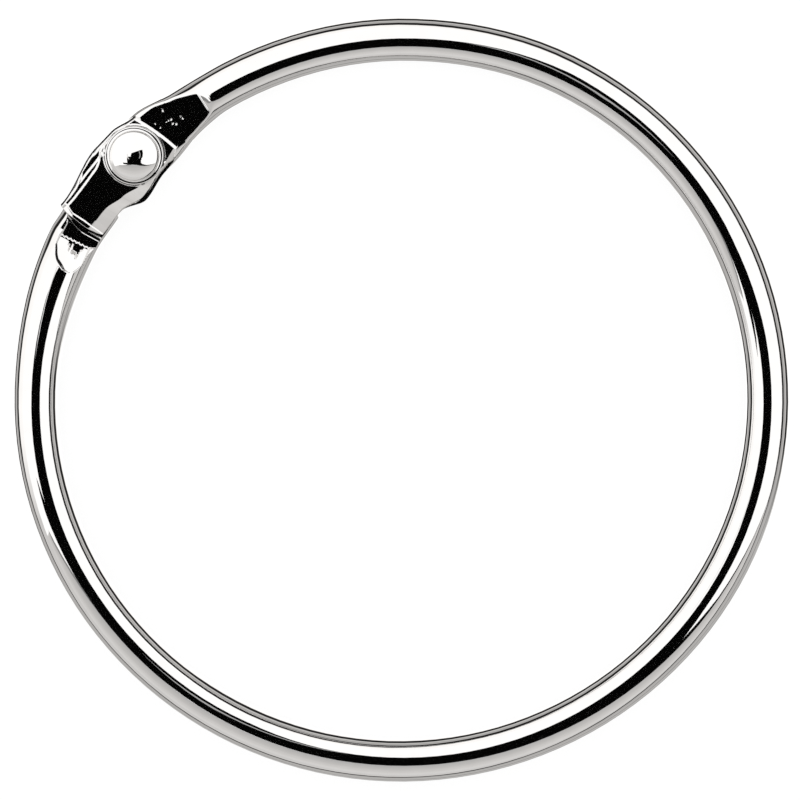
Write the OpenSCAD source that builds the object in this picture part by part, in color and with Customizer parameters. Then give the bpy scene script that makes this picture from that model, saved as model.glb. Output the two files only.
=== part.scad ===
// Hinged binder ring: a nearly closed ring of round wire whose two forged ends are bridged by a
// short gate. The gate turns about a dome-headed rivet and swings outwards in the ring's plane.
// The ring lies flat: +Z up, origin at the ring's centre on the surface it rests on.

/* [Ring] */
// Clear inner diameter of the closed ring
inner_d = 51; // [38:1:76]
// Diameter of the round wire
wire_d = 3.2; // [3:0.1:3.6]
// Where the rivet sits round the ring, in degrees from +X
clasp_angle = 136.3; // [0:0.1:359]

/* [Hinge eye] */
// Diameter of the eye forged round the rivet
eye_d = 5.1; // [5:0.1:5.6]
// How far the eye's middle lies inwards of the rivet
eye_shift = 0.2; // [0:0.05:0.3]
// How far the eye's back is pressed up from the wire's lowest line
eye_back = 0.55; // [0.45:0.05:0.7]
// Half width of the neck beside the eye, on the ring's outer side
neck_outer = 2.2; // [1.9:0.05:2.3]
// Half width of the neck beside the eye, on the ring's inner side
neck_inner = 2.7; // [2:0.05:2.75]
// Distance from the rivet at which the neck's outer side is back on the wire
neck_outer_reach = 5.2; // [4.6:0.1:6.5]
// Distance from the rivet at which the neck's inner side is back on the wire
neck_inner_reach = 7.6; // [7.4:0.1:9]
// Distance from the rivet to the top of the front ramp
eye_ramp = 7.3; // [6.6:0.1:7.4]

/* [Tongue] */
// How far both forged ends are pressed down from the wire's front
press_depth = 0.95; // [0.8:0.05:1.1]
// Distance from the rivet to the tongue's tip
tongue_tip = 3.9; // [3.8:0.1:4.8]
// Length of the tongue's round tip
tongue_nose = 0.8; // [0.6:0.1:1.2]
// Half width of the tongue under the gate, on the ring's outer side
tongue_outer = 1.65; // [1.6:0.05:1.75]
// Half width of the tongue under the gate, on the ring's inner side
tongue_inner = 2.05; // [1.8:0.05:2.2]
// Width of the pressed wire at the foot of the thumb scoop
press_width = 3.74; // [3.4:0.02:4]
// Distance from the rivet to the foot of the thumb scoop's ramp
scoop_flat = 7.9; // [7.4:0.1:8.4]
// Distance from the rivet to the far end of the thumb scoop
scoop_ramp = 9.9; // [9.4:0.1:11.5]
// Distance from the rivet at which the pressed wire is round again
press_end = 13; // [12:0.5:15]

/* [Gate] */
// Thickness of the gate
gate_t = 1.15; // [1:0.05:1.3]
// Distance from the rivet to the gate's free end
gate_reach = 6.4; // [6.2:0.1:6.8]
// Distance from the rivet to the middle of the gate's heel
gate_heel = 2.35; // [2.3:0.05:2.5]
// Half width of the gate's heel
heel_half = 1.85; // [1.6:0.05:2]
// Slant of the heel's edge, in degrees
heel_slant = 9.3; // [0:0.1:15]
// Half width of the gate beside the rivet, on the ring's outer side
flare_outer = 2.35; // [2.25:0.05:2.5]
// Distance from the rivet at which the gate's outer side has flared out
flare_at = 1.5; // [1.2:0.1:2]
// Half width of the gate's bulge, on the ring's inner side
bulge_inner = 2.9; // [2.5:0.05:3]
// Distance from the rivet to the top of the bulge
bulge_at = 2.3; // [2:0.05:2.6]
// Distance from the rivet to the narrow place before the bulge
waist_at = 4; // [3.8:0.1:4.4]
// Half width of the gate at this narrow place, on the ring's inner side
waist_inner = 2.15; // [2:0.05:2.3]
// Thickness of the thin flat rim round the crown
rim_t = 0.5; // [0.4:0.05:0.7]
// Width of that rim at the bulge
bulge_rim = 0.35; // [0.2:0.05:0.5]
// Width of the crown's shoulder, on the ring's outer side
shoulder_outer = 0.65; // [0.4:0.05:0.8]
// Width of the crown's shoulder, on the ring's inner side
shoulder_inner = 0.9; // [0.5:0.05:1]
// Width of both shoulders at the heel
shoulder_heel = 0.2; // [0.1:0.05:0.4]
// Radius of the rounded edge at both ends of the gate
end_round = 0.4; // [0.2:0.05:0.5]
// Diameter of the raised seat under the rivet's flange
seat_d = 4.5; // [4.4:0.05:4.6]
// How far the free end stands out past the wire's outer side
lip_overhang = 0.55; // [0.5:0.05:0.65]
// How far the lip reaches down beside the tongue
lip_drop = 1; // [0.6:0.1:1.3]
// Length of the lip
lip_length = 1.1; // [0.8:0.1:1.4]

/* [Rivet] */
// Diameter of the shank
shank_d = 1.8; // [1.5:0.05:2.2]
// Diameter of the flange under the head
flange_d = 4.34; // [4:0.02:4.4]
// Thickness of the flange
flange_t = 0.24; // [0.2:0.02:0.4]
// Diameter of the domed head
head_d = 3.62; // [3.3:0.02:3.9]
// Radius of the sphere that the head's dome is part of
dome_r = 2.7; // [2.2:0.1:4]
// Radius of the head's rounded edge
head_edge = 0.22; // [0.1:0.02:0.3]
// Height of the head's upright side, below its rounded edge
head_side = 0.12; // [0.06:0.02:0.3]
// Diameter of the headed tail behind the eye
tail_d = 2.9; // [2.6:0.1:3.2]
// Thickness of the headed tail
tail_t = 0.42; // [0.3:0.02:0.44]

/* [Fits] */
// Radial running clearance of the gate's bore on the shank
bore_gap = 0.03; // [0.01:0.01:0.1]
// Radial clearance of the shank in the eye's hole
eye_gap = 0.01; // [0.01:0.01:0.03]
// Gap between two flat faces that slide on each other
face_gap = 0.05; // [0.03:0.01:0.08]
// Gap between the lip and the tongue's outer side
lip_gap = 0.06; // [0.04:0.01:0.1]
// Gap between the sweep of the gate's heel and the foot of the ramp
heel_gap = 0.3; // [0.15:0.05:0.6]

/* [Hidden] */
$fn = 96;

plating = [0.77, 0.76, 0.75];

wire_r = wire_d / 2;
ring_r = inner_d / 2 + wire_r;
eye_r = eye_d / 2;
shank_r = shank_d / 2;

// Heights, from the resting plane upwards
tail_z = eye_back - tail_t;
press_top = wire_d - press_depth;
gate_z = press_top + face_gap;
gate_top = gate_z + gate_t;
seat_rise = 0.03;
seat_top = gate_top + seat_rise;
flange_z = seat_top + face_gap;
head_z = flange_z + flange_t + head_side;

// Rounding of the forged edges, front and back
front_edge = 0.5;
back_edge = 0.6;
// The neck narrows from here on
neck_start = 1.2;
// The eye's two faces are coined this much past the neck's
coin_depth = 0.02;
// Farthest that a corner of the heel swings from the rivet
heel_sweep = norm([gate_heel + heel_half * tan(heel_slant), heel_half]);
eye_flat = heel_sweep + heel_gap;
// Radius of the heel's slightly bulging edge, seen from the front
heel_curve = 16;

// The forged ends run this far into the round wire, and are this much thinner all round
bite = 0.3;
bite_r = 0.015;
corner_steps = 6;
neck_steps = 28;
nose_steps = 6;
tongue_steps = 32;
gate_steps = 36;
// Narrowest width of the gate's rim, beside the crown
rim = 0.06;
// How far bores run on past both faces, and a length that goes through the whole clasp
past = wire_d / 2;
ample = seat_top + 2 * past;

// ---- Places along the bent centre line, counted from the rivet ----

// Angle that a stretch of the centre line takes up at the ring's centre
function arc_angle(s) = s / ring_r * 180 / PI;

// How far the centre line has dropped towards the ring's centre at x
function arc_drop(x) = ring_r - sqrt(ring_r * ring_r - x * x);

// A point of a cross-section at s: y outwards from the centre line, z up
function bent(s, y, z) =
    let (a = arc_angle(s)) [(ring_r + y) * sin(a), (ring_r + y) * cos(a) - ring_r, z];

function blend(a, b, t) = a + (b - a) * t;

function clamped(t) = max(0, min(1, t));

// 0 below 0, 1 above 1 and a smooth rise between
function ease(t) = let (c = clamped(t)) c * c * (3 - 2 * c);

// Smooth curve through stations [x, value], flat at each of them
function along(x, stations, i = 0) =
    i > len(stations) - 2 || x <= stations[i][0] ? stations[i][1]
    : x > stations[i + 1][0] ? along(x, stations, i + 1)
    : blend(stations[i][1], stations[i + 1][1],
            ease((x - stations[i][0]) / (stations[i + 1][0] - stations[i][0])));

// ---- Forged cross-sections: flat front and back, joined by quarter-ellipse edges ----

// One rounded edge: quarter turn q about [y, z], with half axes ry and rz
function edge_points(y, z, ry, rz, q) =
    [for (i = [0 : corner_steps - 1])
        let (a = 90 * (q + (i + 0.5) / corner_steps)) [y + ry * cos(a), z + rz * sin(a)]];

// outer and inner are half widths; front and back are [outer, inner] half widths of the flats;
// heights are [bottom, lower waist, upper waist, top]
function forged_section(outer, inner, front, back, heights) =
    let (bottom = heights[0], low = heights[1], high = heights[2], top = heights[3])
    concat(edge_points(front[0], high, outer - front[0], top - high, 0),
           edge_points(-front[1], high, inner - front[1], top - high, 1),
           edge_points(-back[1], low, inner - back[1], low - bottom, 2),
           edge_points(back[0], low, outer - back[0], low - bottom, 3));

// Half width of the pressed front: its plan closes like an ellipse as the ramp runs out
function front_half(half, rise) = max(0, half - front_edge) * sqrt(max(0, 1 - rise * rise));

// The neck at s from the rivet: wide and pressed from both sides at the eye, then round wire
function neck_section(s) =
    let (shut_outer = ease((s - neck_start) / (neck_outer_reach - neck_start)),
         shut_inner = ease((s - neck_start) / (neck_inner_reach - neck_start)),
         rise = clamped((s - eye_flat) / (eye_ramp - eye_flat)),
         outer = blend(neck_outer, wire_r - bite_r, shut_outer),
         inner = blend(neck_inner, wire_r - bite_r, shut_inner),
         top = blend(press_top - coin_depth, wire_d - bite_r, rise),
         bottom = blend(eye_back + coin_depth, bite_r, shut_outer),
         high = blend(top - front_edge, wire_r, rise),
         low = blend(bottom + back_edge, wire_r, shut_outer))
    forged_section(outer, inner,
                   [front_half(outer, rise), front_half(inner, rise)],
                   [(outer - back_edge) * (1 - shut_outer), (inner - back_edge) * (1 - shut_outer)],
                   [bottom, min(low, high), max(low, high), top]);

// Half width of the pressed wire at d from the rivet: it keeps its first width up to a place
function tongue_half(d, first, upto) =
    along(d, [[upto, first], [scoop_flat, press_width / 2], [press_end, wire_r - bite_r]]);

// Share of that width which the round tip leaves
function nose_plan(d) =
    let (t = clamped(1 - (d - tongue_tip) / tongue_nose)) sqrt(max(0.0004, 1 - t * t));

// The tongue at d from the rivet: a round tip, a flat under the gate's end, a ramp, round wire
function tongue_section(d) =
    let (rise = clamped((d - scoop_flat) / (scoop_ramp - scoop_flat)),
         outer = tongue_half(d, tongue_outer, gate_reach) * nose_plan(d),
         inner = tongue_half(d, tongue_inner, tongue_tip + tongue_nose) * nose_plan(d),
         top = blend(press_top, wire_d - bite_r, rise),
         high = blend(top - front_edge, wire_r, rise))
    forged_section(outer, inner, [front_half(outer, rise), front_half(inner, rise)], [0, 0],
                   [bite_r, min(high, wire_r), high, top]);

// Skin over a row of equal cross-sections, closed at both ends
module loft(rings) {
    n = len(rings[0]);
    m = len(rings);
    points = [for (ring = rings) each ring];
    sides = [for (k = [0 : m - 2], i = [0 : n - 1])
        let (a = k * n + i, b = k * n + (i + 1) % n) each [[a, a + n, b + n], [a, b + n, b]]];
    first = [for (i = [0 : n - 1]) i];
    last = [for (i = [n - 1 : -1 : 0]) (m - 1) * n + i];
    polyhedron(points, concat([first], sides, [last]));
}

// ---- Placing ----

// Local frame at the rivet: +X along the ring towards the neck, +Y outwards from the ring
module at_clasp() {
    translate([ring_r * cos(clasp_angle), ring_r * sin(clasp_angle), 0])
        rotate([0, 0, clasp_angle - 90])
            children();
}

// Half section of a round plate with a rounded upper edge, for turning
module plate_profile(r, t, edge) {
    square([r, t - edge]);
    square([r - edge, t]);
    translate([r - edge, t - edge])
        intersection() {
            circle(r = edge);
            square(edge);
        }
}

// ---- Ring wire ----

module round_wire() {
    rotate([0, 0, clasp_angle + arc_angle(press_end)])
        rotate_extrude(angle = 360 - arc_angle(press_end + neck_inner_reach))
            translate([ring_r, wire_r])
                circle(r = wire_r);
}

module neck() {
    places = [for (k = [0 : neck_steps]) neck_inner_reach * k / neck_steps,
              neck_inner_reach + bite];
    loft([for (s = places) [for (p = neck_section(s)) bent(s, p[0], p[1])]]);
}

// Closer sections round the tip, where the plan curves most
module tongue() {
    foot = tongue_tip + tongue_nose;
    places = [press_end + bite,
              for (k = [tongue_steps : -1 : 1]) blend(foot, press_end, k / tongue_steps),
              for (k = [nose_steps : -1 : 0]) tongue_tip + tongue_nose * pow(k / nose_steps, 2)];
    loft([for (d = places) [for (p = tongue_section(d)) bent(-d, p[0], p[1])]]);
}

// Round blank with rounded front and back edges
module eye_blank() {
    back_end = eye_back + back_edge;
    front_start = press_top - front_edge;
    translate([0, -eye_shift, 0])
        rotate_extrude() {
            translate([0, eye_back])
                square([eye_r - back_edge, press_top - eye_back]);
            translate([0, back_end])
                square([eye_r, front_start - back_end]);
            translate([0, back_end])
                square([eye_r - front_edge, press_top - back_end]);
            translate([eye_r - back_edge, back_end])
                circle(r = back_edge);
            translate([eye_r - front_edge, front_start])
                circle(r = front_edge);
        }
}

module eye() {
    difference() {
        union() {
            eye_blank();
            neck();
        }
        translate([0, 0, -past])
            cylinder(r = shank_r + eye_gap, h = ample);
    }
}

module ring_wire() {
    color(plating) {
        round_wire();
        at_clasp() {
            eye();
            tongue();
        }
    }
}

// ---- Gate ----

end_drop = arc_drop(gate_reach);
// From here the gate narrows towards its heel
narrowed = 0.4;

// Both long edges of the gate, as half widths at stations along x
function outer_edge(x) =
    along(x, [[-gate_reach, wire_r + lip_overhang - end_drop], [-flare_at, flare_outer],
              [narrowed, flare_outer], [gate_heel, heel_half]]);
function inner_edge(x) =
    along(x, [[-gate_reach, wire_r + end_drop], [-waist_at, waist_inner],
              [-bulge_at, bulge_inner], [narrowed, flare_outer - rim], [gate_heel, heel_half]]);

function gate_places(over) =
    [for (k = [0 : gate_steps]) blend(-gate_reach - over, gate_heel + over, k / gate_steps)];

module gate_outline() {
    places = gate_places(0.5);
    polygon([for (x = places) [x, outer_edge(x)],
             for (k = [gate_steps : -1 : 0]) [places[k], -inner_edge(places[k])]]);
}

// Flat-topped crown with a rounded shoulder along both sides, standing in the thin rim
function crown_section(x) =
    let (heel = ease((x + bulge_at) / (gate_heel + bulge_at)),
         outer = outer_edge(x) - rim,
         inner = inner_edge(x) - along(x, [[-waist_at, rim], [-bulge_at, bulge_rim],
                                           [narrowed, rim]]),
         left = blend(shoulder_outer, shoulder_heel, heel),
         right = blend(shoulder_inner, shoulder_heel, heel))
    concat([[outer, rim_t / 2]],
           edge_points(outer - left, rim_t, left, gate_t - rim_t, 0),
           edge_points(right - inner, rim_t, right, gate_t - rim_t, 1),
           [[-inner, rim_t / 2]]);

module crown() {
    loft([for (x = gate_places(0.4)) [for (p = crown_section(x)) [x, p[0], p[1]]]]);
}

// The free end is round about the rivet, so that it can swing past the wire
module free_end_limit() {
    rotate_extrude()
        plate_profile(gate_reach, gate_t, end_round);
}

module heel_limit() {
    rotate([0, 0, heel_slant])
        translate([gate_heel * cos(heel_slant) - heel_curve, 0, 0])
            rotate_extrude()
                plate_profile(heel_curve, gate_t, end_round);
}

// The lip hangs down outside the tongue and stops the gate as it closes
module lip() {
    intersection() {
        linear_extrude(lip_drop + rim_t / 2)
            gate_outline();
        difference() {
            cylinder(r = gate_reach, h = ample);
            translate([0, 0, -past])
                cylinder(r = gate_reach - lip_length, h = ample);
        }
        difference() {
            translate([-gate_reach, -gate_reach, 0])
                cube([gate_reach, 2 * gate_reach, ample]);
            translate([0, -ring_r, -past])
                cylinder(r = ring_r + tongue_outer + lip_gap, h = ample, $fn = 360);
        }
    }
}

module gate() {
    color(plating)
        at_clasp()
            difference() {
                union() {
                    translate([0, 0, gate_z])
                        intersection() {
                            union() {
                                linear_extrude(rim_t)
                                    gate_outline();
                                crown();
                            }
                            free_end_limit();
                            heel_limit();
                        }
                    translate([0, 0, gate_z + rim_t / 2])
                        rotate_extrude()
                            plate_profile(seat_d / 2, gate_t - rim_t / 2 + seat_rise, seat_rise);
                    translate([0, 0, gate_z - lip_drop])
                        lip();
                }
                translate([0, 0, -past])
                    cylinder(r = shank_r + bore_gap, h = ample);
            }
}

// ---- Rivet ----

// Half section of the head above its foot: a low dome that runs smoothly into a rounded edge
module dome_profile(foot) {
    edge_x = head_d / 2 - head_edge;
    dome_z = head_z - sqrt(pow(dome_r - head_edge, 2) - edge_x * edge_x);
    wide = dome_r * edge_x / (head_z - dome_z);
    intersection() {
        translate([0, dome_z])
            circle(r = dome_r);
        polygon([[0, dome_z], [wide, dome_z + dome_r], [0, dome_z + dome_r]]);
        translate([0, foot])
            square(dome_r);
    }
    translate([edge_x, head_z])
        circle(r = head_edge);
    translate([0, foot])
        square([head_d / 2, head_z - foot]);
}

// Half section of the rivet, for turning
module rivet_profile() {
    flange_r = flange_d / 2;
    rim_r = flange_t / 2;
    tail_r = tail_d / 2;
    // Sphere whose cap is as wide and as thick as the headed tail
    cap_r = (tail_r * tail_r + tail_t * tail_t) / (2 * tail_t);
    intersection() {
        translate([0, tail_z + cap_r])
            circle(r = cap_r);
        translate([0, tail_z])
            square([tail_r, tail_t]);
    }
    translate([0, eye_back - tail_t / 2])
        square([shank_r, flange_z - eye_back + tail_t / 2 + rim_r]);
    translate([0, flange_z])
        square([flange_r - rim_r, flange_t]);
    translate([flange_r - rim_r, flange_z + rim_r])
        circle(r = rim_r);
    dome_profile(flange_z + rim_r);
}

module ball_rivet() {
    color(plating)
        at_clasp()
            rotate_extrude()
                rivet_profile();
}

ring_wire();
gate();
ball_rivet();
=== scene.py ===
"""Looks of the hinged binder ring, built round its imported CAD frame.

The ring lies flat: +Z up, origin at the ring's centre on the floor. All sizes are in millimetres
until a mesh is made, and angles are in degrees. A place round the ring is given by s, the length
along the wire's centre line from the rivet, positive towards the hinge's neck. Across the wire, y
points outwards from the centre line and z up from the floor.
"""

from __future__ import annotations

import logging
import math
from dataclasses import dataclass, field
from enum import Enum
from typing import Sequence

import bmesh
import bpy
import numpy as np
from mathutils import Matrix, Vector

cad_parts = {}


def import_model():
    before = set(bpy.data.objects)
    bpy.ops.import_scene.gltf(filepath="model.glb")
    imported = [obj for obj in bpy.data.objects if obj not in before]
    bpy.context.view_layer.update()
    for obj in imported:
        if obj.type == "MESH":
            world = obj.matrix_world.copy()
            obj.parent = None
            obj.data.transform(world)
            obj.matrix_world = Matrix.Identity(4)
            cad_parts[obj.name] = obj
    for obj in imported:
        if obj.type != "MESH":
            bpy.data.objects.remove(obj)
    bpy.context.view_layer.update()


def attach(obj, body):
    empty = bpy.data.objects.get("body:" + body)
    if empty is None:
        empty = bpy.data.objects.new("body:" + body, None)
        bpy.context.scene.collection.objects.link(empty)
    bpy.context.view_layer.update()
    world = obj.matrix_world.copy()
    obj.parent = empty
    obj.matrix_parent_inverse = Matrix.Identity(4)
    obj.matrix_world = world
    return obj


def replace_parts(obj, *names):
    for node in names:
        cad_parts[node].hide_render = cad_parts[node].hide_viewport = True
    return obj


LOG = logging.getLogger("binder_ring")
MM = 0.001  # metres in a millimetre
FAR = 99.0  # a height over everything
TINY = 1e-4  # least number that is rooted or divided by
WARM = (1.0, 0.985, 0.97)  # what makes a grey slightly warm
Array = np.ndarray
Pairs = tuple[tuple[float, float], ...]
Stations = Pairs  # of place and value, in rising order of place
Scuff = tuple[float, float, float, float]  # a dent's middle (x, y) and its half sizes


# ---------------------------------------------------------------------------------------------
# Curves
# ---------------------------------------------------------------------------------------------


def ease(t: Array | float) -> Array:
    """Return 0 below 0, 1 above 1 and the smooth rise 3t^2 - 2t^3 between."""
    c = np.clip(t, 0.0, 1.0)
    return c * c * (3.0 - 2.0 * c)


def ramp(x: Array | float, start: float, end: float) -> Array:
    """Return the smooth rise from 0 at start to 1 at end."""
    return ease((np.asarray(x, float) - start) / (end - start))


def along(x: Array, stations: Stations) -> Array:
    """Return a smooth curve through stations, flat at each of them.

    The curve is the first value plus, for each next station, the change of value times a ramp.

    Args:
        x: Places to read the curve at.
        stations: Pairs of place and value, in rising order of place.

    Returns:
        The values at x.
    """
    x = np.asarray(x, float)
    value = np.full_like(x, stations[0][1])
    for (x0, v0), (x1, v1) in zip(stations, stations[1:]):
        value = value + (v1 - v0) * ramp(x, x0, x1)
    return value


def straight(x: Array, stations: Stations) -> Array:
    """Return straight lines through stations of place and value, read at x."""
    return np.interp(x, *zip(*stations))


def spaced(start: float, end: float, step: float) -> Array:
    """Return evenly spaced places, about a step apart, from start up to, and without, end."""
    count = max(1, round(abs(end - start) / step))
    return np.linspace(start, end, count, endpoint=False)


def stretches(places: Sequence[float], steps: Sequence[float]) -> Array:
    """Return places from the first to the last, each stretch between neighbours with its own step."""
    return np.concatenate([spaced(*stretch) for stretch in zip(places, places[1:], steps)])


def arc_points(cx: float, cz: float, r: float, start: float, end: float, count: int) -> Array:
    """Return points of a circular arc in a profile, from angle start to angle end."""
    angle = np.radians(np.linspace(start, end, count))
    return np.stack([cx + r * np.cos(angle), cz + r * np.sin(angle)], -1)


def smooth_min(a: Array, b: Array, soft: float) -> Array:
    """Return the lower of two heights, with their meeting rounded over about soft."""
    h = np.clip(0.5 + 0.5 * (b - a) / soft, 0.0, 1.0)
    return b + (a - b) * h - soft * h * (1.0 - h)


def scuffed(x: Array, y: Array, scuffs: Sequence[Scuff], depth: float = 0.014) -> Array:
    """Return the depth of small dents, each a bell exp(-(dx/a)^2 - (dy/b)^2).

    Args:
        x: Places along the clasp.
        y: Places across it.
        scuffs: Middle (x, y) and half sizes (a, b) of each dent.
        depth: Depth in the middle of a dent.

    Returns:
        The depths at x and y.
    """
    return depth * sum(np.exp(-((x - cx) / a) ** 2 - ((y - cy) / b) ** 2) for cx, cy, a, b in scuffs)


# ---------------------------------------------------------------------------------------------
# Names that the record gives
# ---------------------------------------------------------------------------------------------


class Body(Enum):
    """Rigid bodies of the part."""

    RING = "ring"
    GATE = "gate"


class Slot(Enum):
    """Material slots of the part."""

    WIRE = "wire_nickel"
    GATE = "gate_nickel"
    RIVET = "rivet_nickel"


# ---------------------------------------------------------------------------------------------
# Meshes
# ---------------------------------------------------------------------------------------------


@dataclass
class Shell:
    """Points and quads gathered from grids, which together become one mesh.

    Attributes:
        crisp: Angle from which an edge between two faces stays crisp.
        weld: Distance within which points that meet, as at a pole, become one.
        points: Points of each grid.
        quads: Indices of each grid's quads.
        count: Number of points so far.
    """

    crisp: float = 40.0
    weld: float = 1e-4
    points: list[Array] = field(default_factory=list)
    quads: list[Array] = field(default_factory=list)
    count: int = 0

    def add_grid(self, grid: Array, wrap_rows: bool = False, wrap_cols: bool = False) -> None:
        """Add a grid of points, with quads between neighbours.

        Args:
            grid: Points in millimetres, shaped (rows, columns, 3).
            wrap_rows: Join the last row to the first.
            wrap_cols: Join the last column to the first.
        """
        rows, cols = grid.shape[:2]
        index = np.arange(rows * cols).reshape(rows, cols) + self.count
        if wrap_rows:
            index = np.vstack([index, index[:1]])
        if wrap_cols:
            index = np.hstack([index, index[:, :1]])
        corners = [index[:-1, :-1], index[:-1, 1:], index[1:, 1:], index[1:, :-1]]
        self.quads.append(np.stack(corners, axis=-1).reshape(-1, 4))
        self.points.append(grid.reshape(-1, 3))
        self.count += rows * cols

    def add_tube(self, grid: Array) -> None:
        """Add a grid whose rows are closed loops, and close its first and last loop.

        Args:
            grid: Points in millimetres, shaped (rows, columns, 3), with an even number of columns.
                The last loop turns left seen from outside, and the first one right.
        """
        rows, cols = grid.shape[:2]
        first = self.count + np.arange(cols)
        self.add_grid(grid, wrap_cols=True)
        self.close_loop(first, outwards=False)
        self.close_loop(first + (rows - 1) * cols, outwards=True)

    def close_loop(self, loop: Array, outwards: bool) -> None:
        """Close a loop of points with quads that join each point to its opposite number.

        Args:
            loop: Indices of the loop's points, an even number of them.
            outwards: True if the loop turns left seen from outside.
        """
        half = len(loop) // 2
        near, far = loop[:half], loop[::-1][:half]
        strip = np.stack([near[:-1], near[1:], far[1:], far[:-1]], -1)
        self.quads.append(strip if outwards else strip[:, ::-1])

    def build(self, name: str, slot: Slot, body: Body, finish: bpy.types.Material) -> bpy.types.Object:
        """Make the Blender object, smooth and with its finish, riding on a body.

        Args:
            name: Name of the new object.
            slot: Material slot of the record that its surface belongs to. It is not used.
            body: Rigid body that it moves with.
            finish: Material of its surface.

        Returns:
            The new object.
        """
        points = np.concatenate(self.points) * MM
        quads = np.concatenate(self.quads)
        mesh = bpy.data.meshes.new(name)
        mesh.vertices.add(len(points))
        mesh.vertices.foreach_set("co", points.astype(np.float32).ravel())
        mesh.loops.add(quads.size)
        mesh.loops.foreach_set("vertex_index", quads.astype(np.int32).ravel())
        mesh.polygons.add(len(quads))
        mesh.polygons.foreach_set("loop_start", np.arange(0, quads.size, 4, dtype=np.int32))
        mesh.update(calc_edges=True)
        whole = bmesh.new()
        whole.from_mesh(mesh)
        bmesh.ops.remove_doubles(whole, verts=whole.verts, dist=self.weld * MM)
        whole.to_mesh(mesh)
        whole.free()
        mesh.validate()
        mesh.shade_smooth()
        mesh.set_sharp_from_angle(angle=math.radians(self.crisp))
        mesh.materials.append(finish)
        piece = bpy.data.objects.new(name, mesh)
        bpy.context.scene.collection.objects.link(piece)
        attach(piece, body.value)
        return piece


def turned(profile: Array, centre: tuple[float, float], steps: int) -> Array:
    """Turn a profile of (radius, z) points about a vertical axis, as a grid of rows round it.

    Args:
        profile: Points in millimetres, shaped (count, 2).
        centre: Place of the axis.
        steps: Number of rows round the axis.

    Returns:
        The grid of points, shaped (steps, count, 3).
    """
    angle = np.linspace(0.0, 2.0 * np.pi, steps, endpoint=False)[:, None]
    radius = profile[None, :, 0]
    height = np.broadcast_to(profile[None, :, 1], (steps, len(profile)))
    return np.stack([centre[0] + radius * np.cos(angle), centre[1] + radius * np.sin(angle), height], -1)


# ---------------------------------------------------------------------------------------------
# Ring
# ---------------------------------------------------------------------------------------------


@dataclass(frozen=True)
class Clasp:
    """Place of the rivet, and the ring that the clasp sits in.

    Attributes:
        ring_r: Radius of the ring's centre line.
        wire_r: Radius of the wire.
        lift: Height of the wire's lowest line.
        angle: Where the rivet sits round the ring, from +X.
    """

    ring_r: float = 27.1
    wire_r: float = 1.5935
    lift: float = 0.0065
    angle: float = 136.3

    @property
    def rivet(self) -> tuple[float, float]:
        """Place of the rivet's axis."""
        a = math.radians(self.angle)
        return self.ring_r * math.cos(a), self.ring_r * math.sin(a)

    @property
    def around(self) -> float:
        """Length of the whole centre line."""
        return 2.0 * math.pi * self.ring_r

    def on_ring(self, s: Array, y: Array, z: Array) -> Array:
        """Return points of cross-sections, set round the ring.

        The angle is the rivet's less s over the ring's radius, and the radius is the ring's plus y.

        Args:
            s: Places along the centre line.
            y: Places across the wire, outwards.
            z: Heights over the wire's lowest line.

        Returns:
            The points, with a last axis of 3.
        """
        angle = math.radians(self.angle) - s / self.ring_r
        radius = self.ring_r + y
        return np.stack([radius * np.cos(angle), radius * np.sin(angle), z + self.lift + 0.0 * radius], -1)

    def beside(self, x: Array, y: Array, z: Array) -> Array:
        """Return points that are given in the rivet's frame.

        x is laid off along the ring's tangent at the rivet, and y along its radius there.

        Args:
            x: Places along the ring, towards the neck.
            y: Places across it, outwards.
            z: Heights over the floor.

        Returns:
            The points, with a last axis of 3.
        """
        a = math.radians(self.angle)
        cx, cy = self.rivet
        return np.stack([cx + x * math.sin(a) + y * math.cos(a),
                         cy - x * math.cos(a) + y * math.sin(a), z + 0.0 * (x + y)], -1)


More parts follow.
